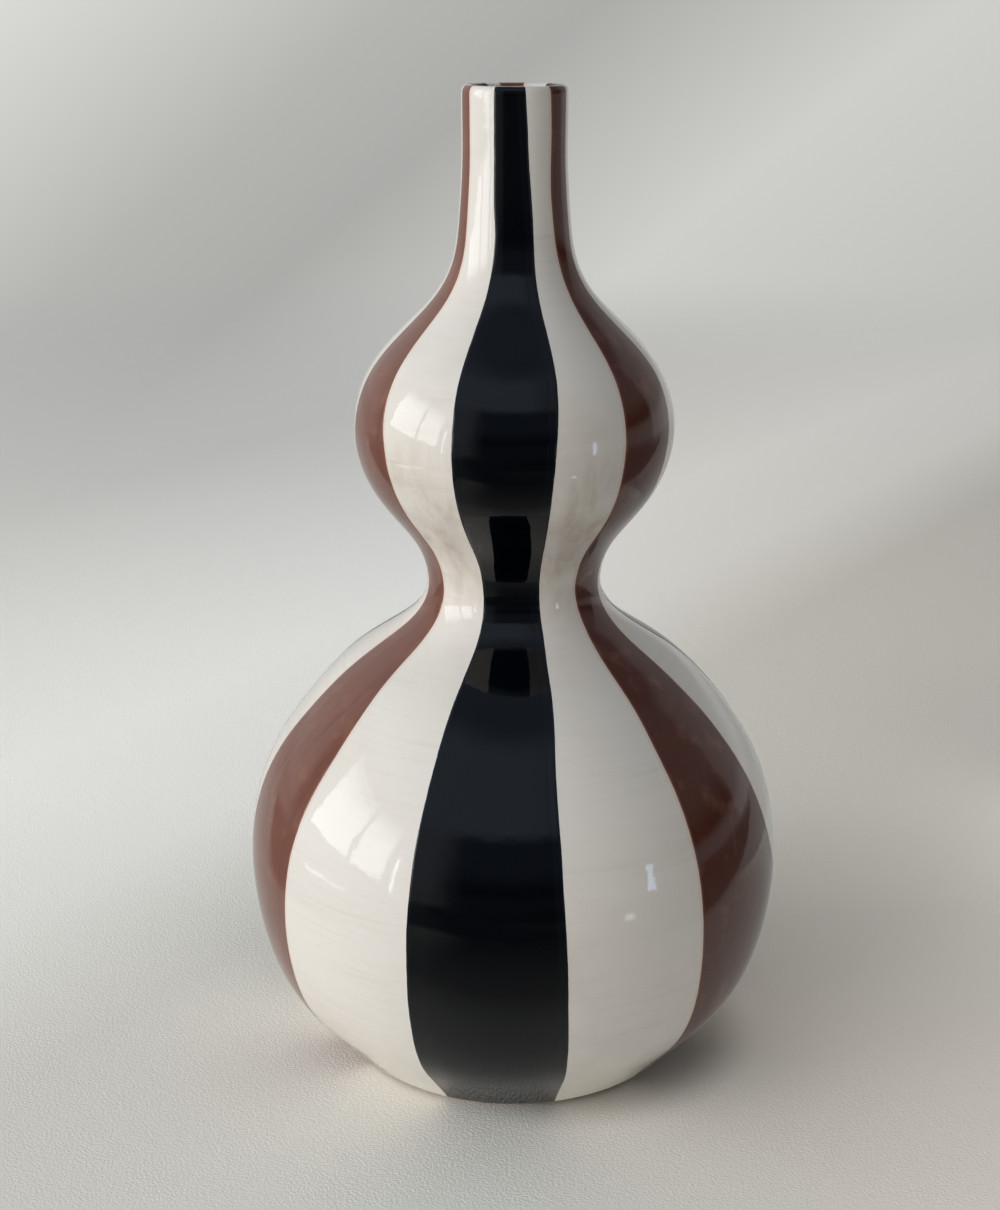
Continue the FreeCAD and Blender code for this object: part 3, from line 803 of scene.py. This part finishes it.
floorLook = {
    "radius": 1.6,
    "drop": 0.1,  # mm under the foot
    "roughness": 0.8,
    "ior": 1.4,
    "grain": (1500, 1.0),
    "grainDepth": 0.15,
    "underFoot": (0.031, 0.033, 1.0, 0.0),  # metres out, clear inside the foot ring to light the recess
    "fade": (0.5, 1.5),  # metres out from the vase where the floor melts into the backdrop
    # how pale the sheet under the vase is, by metres back: painted shade, darkest right beside the vase and
    # palest about 0.3 m back
    "backShades": [(0.0, 0.84), (0.06, 0.86), (0.14, 0.94), (0.3, 0.97), (0.6, 0.92), (1.0, 0.92)],
    # painted shadow across the front of the sheet, darkest about 0.24 m in front of the vase
    "frontSpan": (-0.24, -0.04),
    "frontShades": [(0.0, 0.12), (0.15, 0.13), (0.4, 0.22), (0.62, 0.38), (0.76, 0.80), (0.88, 0.95),
                    (1.0, 1.0)],
    "frontLift": (-0.14, -0.05, 0.5, 0.0),  # across, how much the painted shadow on the front lifts at the left
    "tint": (1.0, 0.97, 0.885),
    "sheetLeft": (0.17, 0.05, 1.2),  # out to the edge, from where back it widens, by how much
    "sheetRight": (0.168, -0.06, 1.0),
    "sheetFront": 0.235,
    "sheetEdge": (-0.015, 0.02),
    "beyond": (0.26, 0.26, 0.26),
    # painted shade: the table ahead of the vase is darker than at the sides
    "beyondFront": (0.07, 0.07, 0.07),
    "beyondMiddle": 0.035,
    "beyondSlope": 0.8,
    "beyondShare": (-0.1, 0.1, 1.0, 0.0),
    # what only the eye sees: tint, a painted contact shadow where the foot touches, a painted warm tint in
    # the shadow at the right, and a painted glow of light slanting over the floor
    "shownTint": (1.0, 0.955, 0.875),
    # painted warm tint in the shadow on the right of the floor
    "warmShadow": (1.0, 0.955, 0.915),
    "warmAcross": (-0.02, 0.10),
    # painted contact shadow: its middle, and the metres out over which it fades from half to none
    "contactMiddle": (0.014, -0.003, 0),
    "contact": (0.034, 0.052, 0.50, 1.0),
    # painted light: a glow over the floor, brightest near the left and fading to the far right
    "glowSlant": (1.8, 1.2),  # across and back
    "glowBack": 0.25,
    "glowSpan": (-0.8, 0.65),
    "glow": [(0.0, 0.03), (0.40, 0.19), (0.53, 0.14), (0.63, 0.0), (0.78, 0.0), (1.0, 0.06)],
}


def shadeRamp(tree, value, stops):
    node = addNode(tree, "ShaderNodeValToRGB", {"Fac": value})
    elements = node.color_ramp.elements
    for index, (place, shade) in enumerate(stops):
        stop = elements[index] if index < 2 else elements.new(place)
        stop.position = place
        stop.color = (shade, shade, shade, 1)
    return node.outputs[0]


def spannedShades(tree, value, span, stops):
    return shadeRamp(tree, ramp(tree, value, *span, blend="LINEAR"), stops)


def seenByEye(tree):
    return addNode(tree, "ShaderNodeLightPath").outputs["Is Camera Ray"]


def sheetAndRoom(tree, across, back, backShade):
    # what the light and the gloss meet: a pale sheet with painted shade near the vase and a painted shadow
    # over its front, on a darker table with painted shade ahead of the vase
    look = floorLook
    # painted shadow over the sheet's front, lifted at the left
    frontShade = spannedShades(tree, back, look["frontSpan"], look["frontShades"])
    frontShade = mixed(tree, ramp(tree, across, *look["frontLift"]), frontShade, (1, 1, 1))
    sheet = tinted(tree, backShade, frontShade)
    sides = []
    for outward, (edge, start, spread) in ((-1, look["sheetLeft"]), (1, look["sheetRight"])):
        widened = times(tree, greater(tree, minus(tree, back, start), 0), spread)
        sides.append(minus(tree, times(tree, across, outward), plus(tree, widened, edge)))
    front = minus(tree, times(tree, back, -1), look["sheetFront"])
    outside = ramp(tree, greater(tree, greater(tree, *sides), front), *look["sheetEdge"])
    aside = computed(tree, "ABSOLUTE", minus(tree, across, look["beyondMiddle"]))
    ahead = ramp(tree, plus(tree, aside, times(tree, back, look["beyondSlope"])), *look["beyondShare"])
    # painted shade on the table ahead of the vase
    beyond = mixed(tree, ahead, look["beyond"], look["beyondFront"])
    return tinted(tree, mixed(tree, outside, sheet, beyond), look["tint"])


def makeFloor():
    look = floorLook
    material, tree, shader = newMaterial("paleFloor", look["roughness"], look["ior"])
    shader.inputs["Specular IOR Level"].default_value = 0.0
    place = objectPlace(tree)
    across, back, _ = addNode(tree, "ShaderNodeSeparateXYZ", {0: place}).outputs
    # painted shade on the sheet by metres back, darkest beside the vase
    backShade = shadeRamp(tree, back, look["backShades"])
    room = sheetAndRoom(tree, across, back, backShade)
    seen = seenByEye(tree)  # the eye gets the pale floor with a painted contact shadow, painted warm shade and a painted glow of light
    # painted contact shadow around the foot
    touched = ramp(tree, measured(tree, "DISTANCE", place, look["contactMiddle"]), *look["contact"])
    paleWithContactShadow = addNode(tree, "ShaderNodeVectorMath", {0: backShade}, operation="SCALE")
    tree.links.new(touched, paleWithContactShadow.inputs["Scale"])
    # painted warm shade over the floor's right side
    warm = mixed(tree, ramp(tree, across, *look["warmAcross"]), (1, 1, 1), look["warmShadow"])
    shown = tinted(tree, paleWithContactShadow.outputs[0], tinted(tree, warm, look["shownTint"]))
    tree.links.new(mixed(tree, seen, room, shown), shader.inputs["Base Color"])
    # painted light: emission seen only by the eye, dimmed by the painted contact shadow
    slantAcross, slantBack = look["glowSlant"]
    fromGlow = times(tree, minus(tree, back, look["glowBack"]), slantBack)
    slanted = minus(tree, times(tree, across, slantAcross), fromGlow)
    glow = spannedShades(tree, slanted, look["glowSpan"], look["glow"])
    tree.links.new(glow, shader.inputs["Emission Color"])
    tree.links.new(times(tree, seen, touched), shader.inputs["Emission Strength"])
    bumped(tree, shader, clouds(tree, *look["grain"]), look["grainDepth"])
    reach = measured(tree, "LENGTH", place)
    below = addNode(tree, "ShaderNodeNewGeometry").outputs["Backfacing"]
    cleared = greater(tree, ramp(tree, reach, *look["fade"]), below)
    cleared = greater(tree, cleared, ramp(tree, reach, *look["underFoot"]))
    clear = addNode(tree, "ShaderNodeBsdfTransparent").outputs[0]
    melted = addNode(tree, "ShaderNodeMixShader", {0: cleared, 1: shader.outputs[0], 2: clear})
    tree.links.new(melted.outputs[0], tree.nodes["Material Output"].inputs["Surface"])
    bm = bmesh.new()
    bmesh.ops.create_circle(bm, cap_ends=True, segments=96, radius=look["radius"])
    bmesh.ops.translate(bm, vec=(0, 0, -look["drop"] * mm), verts=bm.verts[:])
    mesh = bpy.data.meshes.new("floor")
    bm.to_mesh(mesh)
    bm.free()
    mesh.materials.append(material)
    floor = bpy.data.objects.new("floor", mesh)
    bpy.context.scene.collection.objects.link(floor)


studio = {
    "ceiling": (0.40, 0.48, 0.56),
    "ceilingRight": (0.21, 0.235, 0.26),
    "ceilingFar": (0.16, 0.165, 0.17),
    "overhead": (0.19, 0.23, 0.27),
    "frontLow": (0.025, 0.027, 0.033),
    "frontHigh": (0.09, 0.11, 0.14),
    "frontLeft": (0.38, 0.40, 0.43),
    "wallLeft": (0.22, 0.215, 0.21),
    "wallRight": (0.05, 0.05, 0.05),
    "wallRightHigh": (0.25, 0.235, 0.22),
    "backLeft": (0.66, 0.655, 0.64),
    "backRight": (0.42, 0.41, 0.395),
    "lowFront": (0.06, 0.06, 0.065),
    "lowSide": (0.36, 0.36, 0.35),
    "lowBackLeft": (0.50, 0.50, 0.475),
    "lowBackRight": (0.60, 0.60, 0.59),
    # the backdrop that only the eye sees, with a painted band of shade slanting over the picture
    "shownMiddle": 0.04,
    "shownSlope": 1.22,
    "shownSpan": (-0.3, 0.4),
    "shown": [(0.0, 0.70), (0.28, 0.46), (0.43, 0.41), (0.69, 0.62), (1.0, 0.52)],
    "shownTint": (1.0, 1.0, 0.965),
}

roomEdges = {  # where one part of the room gives way to the next, by direction
    "aheadLeft": (-0.62, -0.34),
    "aheadRight": (0.44, 0.67, 1.0, 0.0),
    "aheadDepth": (-0.3, -0.1, 1.0, 0.0),
    "backdrop": (0.38, 0.47),
    "wallRise": (0.10, 0.35),
    "wallSides": (-0.2, 0.2),
    "nearLeft": (-0.70, -0.45, 1.0, 0.0),
    "backSides": (-0.6, 0.5),
    "frontRise": (0.06, 0.32),
    "lowSides": (-0.18, 0.12),
    "lowRise": (0.0, 0.10),
    "ceilingSides": (0.05, 0.55),
    "ceilingFar": (0.30, 0.42),
    "ceilingBack": (0.68, 0.76),
    "overhead": (0.84, 0.96),
    "ceilingRise": (0.50, 0.62),
}


def makeWorld():
    world = bpy.data.worlds.new("studio")
    world.use_nodes = True
    bpy.context.scene.world = world
    tree = world.node_tree
    way = addNode(tree, "ShaderNodeTexCoord").outputs["Generated"]
    right, back, rise = addNode(tree, "ShaderNodeSeparateXYZ", {0: way}).outputs
    flat = addNode(tree, "ShaderNodeCombineXYZ", {0: right, 1: back}).outputs[0]
    level = addNode(tree, "ShaderNodeVectorMath", {0: flat}, operation="NORMALIZE").outputs[0]
    aside, behind, _ = addNode(tree, "ShaderNodeSeparateXYZ", {0: level}).outputs

    def past(value, edge):
        return ramp(tree, value, *roomEdges[edge])

    narrow = times(tree, past(aside, "aheadLeft"), past(aside, "aheadRight"))
    ahead = times(tree, narrow, past(behind, "aheadDepth"))
    facing = past(behind, "backdrop")
    rightWall = mixed(tree, past(rise, "wallRise"), studio["wallRight"], studio["wallRightHigh"])
    walls = mixed(tree, past(right, "wallSides"), studio["wallLeft"], rightWall)
    nearLeft = times(tree, past(behind, "nearLeft"), computed(tree, "LESS_THAN", right, 0.0))
    walls = mixed(tree, nearLeft, walls, studio["frontLeft"])
    backdrop = mixed(tree, past(right, "backSides"), studio["backLeft"], studio["backRight"])
    front = mixed(tree, past(rise, "frontRise"), studio["frontLow"], studio["frontHigh"])
    middle = mixed(tree, facing, mixed(tree, ahead, walls, front), backdrop)
    lowBack = mixed(tree, past(right, "lowSides"), studio["lowBackLeft"], studio["lowBackRight"])
    low = mixed(tree, facing, mixed(tree, ahead, studio["lowSide"], studio["lowFront"]), lowBack)
    colour = mixed(tree, past(rise, "lowRise"), low, middle)
    ceiling = mixed(tree, past(right, "ceilingSides"), studio["ceiling"], studio["ceilingRight"])
    farRight = times(tree, past(behind, "ceilingFar"), computed(tree, "GREATER_THAN", right, 0.0))
    ceiling = mixed(tree, farRight, ceiling, studio["ceilingFar"])
    ceiling = mixed(tree, past(behind, "ceilingBack"), ceiling, backdrop)
    ceiling = mixed(tree, past(rise, "overhead"), ceiling, studio["overhead"])
    colour = mixed(tree, past(rise, "ceilingRise"), colour, ceiling)
    fromMiddle = minus(tree, right, studio["shownMiddle"])
    slanted = minus(tree, fromMiddle, times(tree, rise, studio["shownSlope"]))
    shades = spannedShades(tree, slanted, studio["shownSpan"], studio["shown"])
    shown = tinted(tree, shades, studio["shownTint"])  # the eye gets a pale backdrop with a painted band of shade
    background = tree.nodes["Background"].inputs["Color"]
    tree.links.new(mixed(tree, seenByEye(tree), colour, shown), background)


window = {
    "azimuth": -77,  # degrees from the front, to the right
    "distance": 1.8,
    "roll": -8,
    "panes": [(-0.71, 0.08), (0.165, 0.69)],  # across from, across to
    # up from, up to, radiance
    "levels": [(0.17, 0.76, 2.9), (0.76, 0.90, 2.5), (0.90, 1.02, 1.8), (1.02, 1.16, 0.9)],
    "strip": (0.865, 0.92, 0.0, 0.68, 4.5),
    "tint": (0.93, 0.97, 1.0),
}

lamps = {  # the key, fill and bounce are wide and stay out of the gloss; the glints are only in it
    "key": {"azimuth": -52, "distance": 1.5, "low": 0.10, "high": 1.0, "start": -0.6, "end": 0.6,
            "radiance": 3.5, "tint": (1.0, 0.975, 0.94), "inGloss": False},
    "fill": {"azimuth": 22, "distance": 0.42, "low": 0.045, "high": 0.105, "start": -0.15, "end": 0.15,
             "radiance": 3.4, "tint": (1.0, 0.97, 0.93), "inGloss": False},
    "bounce": {"azimuth": 112, "distance": 0.24, "low": 0.01, "high": 0.13, "start": -0.06, "end": 0.06,
               "radiance": 0.7, "tint": (1.0, 0.985, 0.96), "inGloss": False},
    "sillGlint": {"azimuth": -76, "distance": 0.37, "low": 0.0, "high": 0.012, "start": -0.09, "end": 0.06,
                  "radiance": 1.6, "tint": (1.0, 0.98, 0.95), "inLight": False},
    "blueGlint": {"azimuth": 56.5, "distance": 0.8, "low": 0.01, "high": 0.16, "start": -0.022, "end": 0.022,
                  "radiance": 4.0, "tint": (0.55, 0.75, 1.0), "inLight": False},
    "whiteGlint": {"azimuth": 43, "distance": 0.29, "low": 0.0, "high": 0.014, "start": -0.010, "end": 0.008,
                   "radiance": 2.4, "tint": (1.0, 0.97, 0.92), "inLight": False},
}


def makeLamp(name, azimuth, distance, low, high, start, end, radiance, tint,
             roll=0, inGloss=True, inLight=True):
    turn = math.radians(azimuth)
    out = Vector((math.sin(turn), -math.cos(turn), 0))
    tilt = Matrix.Rotation(math.radians(roll), 3, out)
    side = tilt @ Vector((math.cos(turn), math.sin(turn), 0))
    rise = tilt @ up
    lamp = bpy.data.lights.new(name, "AREA")
    lamp.shape = "RECTANGLE"
    lamp.size = end - start
    lamp.size_y = high - low
    lamp.color = tint
    lamp.energy = radiance * lamp.size * lamp.size_y * 4  # a radiance of 1 takes 4 W to the square metre
    holder = bpy.data.objects.new(name, lamp)
    place = out * distance + side * (start + end) / 2 + rise * (low + high) / 2
    holder.matrix_world = Matrix.Translation(place) @ Matrix((side, rise, out)).transposed().to_4x4()
    holder.visible_camera = False
    holder.visible_glossy = inGloss
    holder.visible_diffuse = inLight
    bpy.context.scene.collection.objects.link(holder)


def makeLights():
    shared = {key: window[key] for key in ("azimuth", "distance", "roll", "tint")}
    for start, end in window["panes"]:
        for low, high, radiance in window["levels"]:
            makeLamp("pane", start=start, end=end, low=low, high=high, radiance=radiance, **shared)
    start, end, low, high, radiance = window["strip"]
    makeLamp("strip", start=start, end=end, low=low, high=high, radiance=radiance, **shared)
    for name, lamp in lamps.items():
        makeLamp(name, **lamp)


viewpoint = {
    "place": (0, -0.4364, 0.2573),
    "down": 18.005,  # degrees below level
    "turn": 0.449,
    "sensor": 36,
    "focalLength": 1850,  # in pixels of the 1000 by 1210 frame
    "frameHeight": 1210,
}


def makeCamera():
    lens = bpy.data.cameras.new("camera")
    lens.sensor_width = viewpoint["sensor"]
    lens.lens = viewpoint["focalLength"] / viewpoint["frameHeight"] * viewpoint["sensor"]
    camera = bpy.data.objects.new("camera", lens)
    camera.location = viewpoint["place"]
    camera.rotation_euler = (math.radians(90 - viewpoint["down"]), 0, math.radians(viewpoint["turn"]))
    bpy.context.scene.collection.objects.link(camera)
    bpy.context.scene.camera = camera


makeFloor()
makeWorld()
makeLights()
makeCamera()
bpy.context.scene.view_settings.view_transform = "Standard"
print("floor, lights and camera set")
